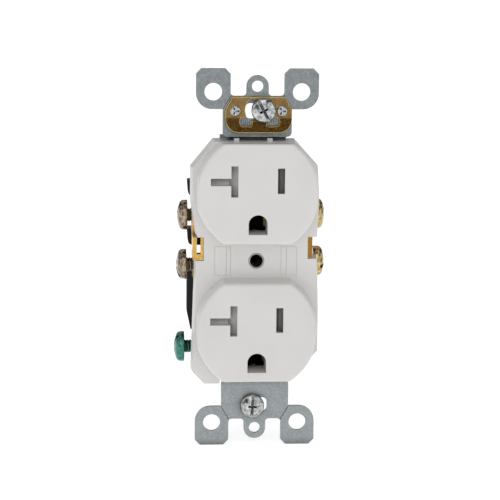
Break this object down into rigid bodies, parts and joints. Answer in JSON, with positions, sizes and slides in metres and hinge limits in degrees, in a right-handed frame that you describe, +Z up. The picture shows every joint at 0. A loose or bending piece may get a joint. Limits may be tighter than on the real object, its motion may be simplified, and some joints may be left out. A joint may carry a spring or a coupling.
{
  "type": "duplex wall outlet",
  "caption": "Duplex wall outlet with two T-slot grounding outlets, side terminal screws, metal mounting strap with plaster ears and a self-grounding clip.",
  "frame": {"origin": "middle of the four plaster-ear holes, on the front plane of the mounting strap", "axes": "+Z up along the strap, -Y out of the wall towards the user, +X to the user's right"},
  "size_m": [0.043, 0.0311, 0.1068],
  "materials": {
    "cover_white": "satin moulded thermoplastic",
    "base_black": "matt moulded thermoplastic",
    "yoke_zinc": "hot-dip galvanised, fine spangle",
    "clip_brass": "half-bright stamped brass",
    "rivet_steel": "bright zinc plate",
    "eyelet_steel": "zinc plate",
    "screw_steel": "bright zinc plate",
    "contact_brass": "bright stamped brass",
    "neutral_screw_nickel": "warm nickel plate",
    "hot_screw_brass": "bright brass",
    "ground_screw_green": "green dyed zinc plate",
    "retainer_fibre": "dark fibre",
    "ground_contact_steel": "stamped brass",
    "carrier_grey": "matt moulded thermoplastic",
    "shutter_grey": "matt moulded thermoplastic",
    "spring_steel": "drawn music wire"
  },
  "bodies": {
    "receptacle": {"cover": "cover_white", "base": "base_black", "yoke": "yoke_zinc", "self_grounding_clip": "clip_brass", "clip_rivets": "rivet_steel", "center_eyelet": "eyelet_steel", "assembly_screws": "screw_steel", "hot_contact_strip": "contact_brass", "neutral_contact_strip": "contact_brass", "ground_contact_rivets": "rivet_steel", "upper_ground_contact": "ground_contact_steel", "lower_ground_contact": "ground_contact_steel", "upper_shutter_carrier": "carrier_grey", "lower_shutter_carrier": "carrier_grey", "upper_shutter_spring": "spring_steel", "lower_shutter_spring": "spring_steel", "upper_arm_shutter_spring": "spring_steel", "lower_arm_shutter_spring": "spring_steel"},
    "ground_screw": {"ground_screw": "ground_screw_green"},
    "upper_neutral_screw": {"upper_neutral_screw": "neutral_screw_nickel"},
    "lower_neutral_screw": {"lower_neutral_screw": "neutral_screw_nickel"},
    "upper_hot_screw": {"upper_hot_screw": "hot_screw_brass"},
    "lower_hot_screw": {"lower_hot_screw": "hot_screw_brass"},
    "upper_screw_retainer": {"upper_screw_retainer": "retainer_fibre"},
    "lower_screw_retainer": {"lower_screw_retainer": "retainer_fibre"},
    "upper_mounting_screw": {"upper_mounting_screw": "screw_steel"},
    "lower_mounting_screw": {"lower_mounting_screw": "screw_steel"},
    "upper_shutter": {"upper_shutter": "shutter_grey"},
    "lower_shutter": {"lower_shutter": "shutter_grey"},
    "upper_arm_shutter": {"upper_arm_shutter": "shutter_grey"},
    "lower_arm_shutter": {"lower_arm_shutter": "shutter_grey"}
  },
  "joints": [
    {"name": "ground_screw_drive", "type": "slide", "parent": "receptacle", "child": "ground_screw", "axis": [1, 0, 0], "range_m": [-0.001, 0.00315]},
    {"name": "upper_neutral_screw_drive", "type": "slide", "parent": "receptacle", "child": "upper_neutral_screw", "axis": [1, 0, 0], "range_m": [-0.001, 0.00115]},
    {"name": "upper_hot_screw_drive", "type": "slide", "parent": "receptacle", "child": "upper_hot_screw", "axis": [-1, 0, 0], "range_m": [-0.001, 0.0012]},
    {"name": "lower_neutral_screw_drive", "type": "slide", "parent": "receptacle", "child": "lower_neutral_screw", "axis": [1, 0, 0], "range_m": [-0.001, 0.0014]},
    {"name": "lower_hot_screw_drive", "type": "slide", "parent": "receptacle", "child": "lower_hot_screw", "axis": [-1, 0, 0], "range_m": [-0.001, 0.0013]},
    {"name": "upper_retainer_slide", "type": "slide", "parent": "receptacle", "child": "upper_screw_retainer", "axis": [1, 0, 0], "range_m": [-0.0026, 0.00015]},
    {"name": "upper_mounting_screw_turn", "type": "hinge", "parent": "upper_screw_retainer", "child": "upper_mounting_screw", "pos_m": [0.0016, 0, 0.04185], "axis": [0, 1, 0], "continuous": true},
    {"name": "upper_shutter_slide", "type": "slide", "parent": "receptacle", "child": "upper_shutter", "axis": [1, 0, 0], "range_m": [0, 0.0024], "stiffness_N_per_m": 60, "springref_m": -0.0015, "deforming": ["upper_shutter_spring"]},
    {"name": "upper_arm_shutter_slide", "type": "slide", "parent": "receptacle", "child": "upper_arm_shutter", "axis": [0, 0, -1], "range_m": [0, 0.0023], "stiffness_N_per_m": 60, "springref_m": -0.001, "deforming": ["upper_arm_shutter_spring"]},
    {"name": "lower_retainer_slide", "type": "slide", "parent": "receptacle", "child": "lower_screw_retainer", "axis": [1, 0, 0], "range_m": [-0.0012, 0.0025]},
    {"name": "lower_mounting_screw_turn", "type": "hinge", "parent": "lower_screw_retainer", "child": "lower_mounting_screw", "pos_m": [-0.00071, 0, -0.04185], "axis": [0, 1, 0], "continuous": true},
    {"name": "lower_shutter_slide", "type": "slide", "parent": "receptacle", "child": "lower_shutter", "axis": [1, 0, 0], "range_m": [0, 0.0024], "stiffness_N_per_m": 60, "springref_m": -0.0015, "deforming": ["lower_shutter_spring"]},
    {"name": "lower_arm_shutter_slide", "type": "slide", "parent": "receptacle", "child": "lower_arm_shutter", "axis": [0, 0, -1], "range_m": [0, 0.0023], "stiffness_N_per_m": 60, "springref_m": -0.001, "deforming": ["lower_arm_shutter_spring"]}
  ]
}
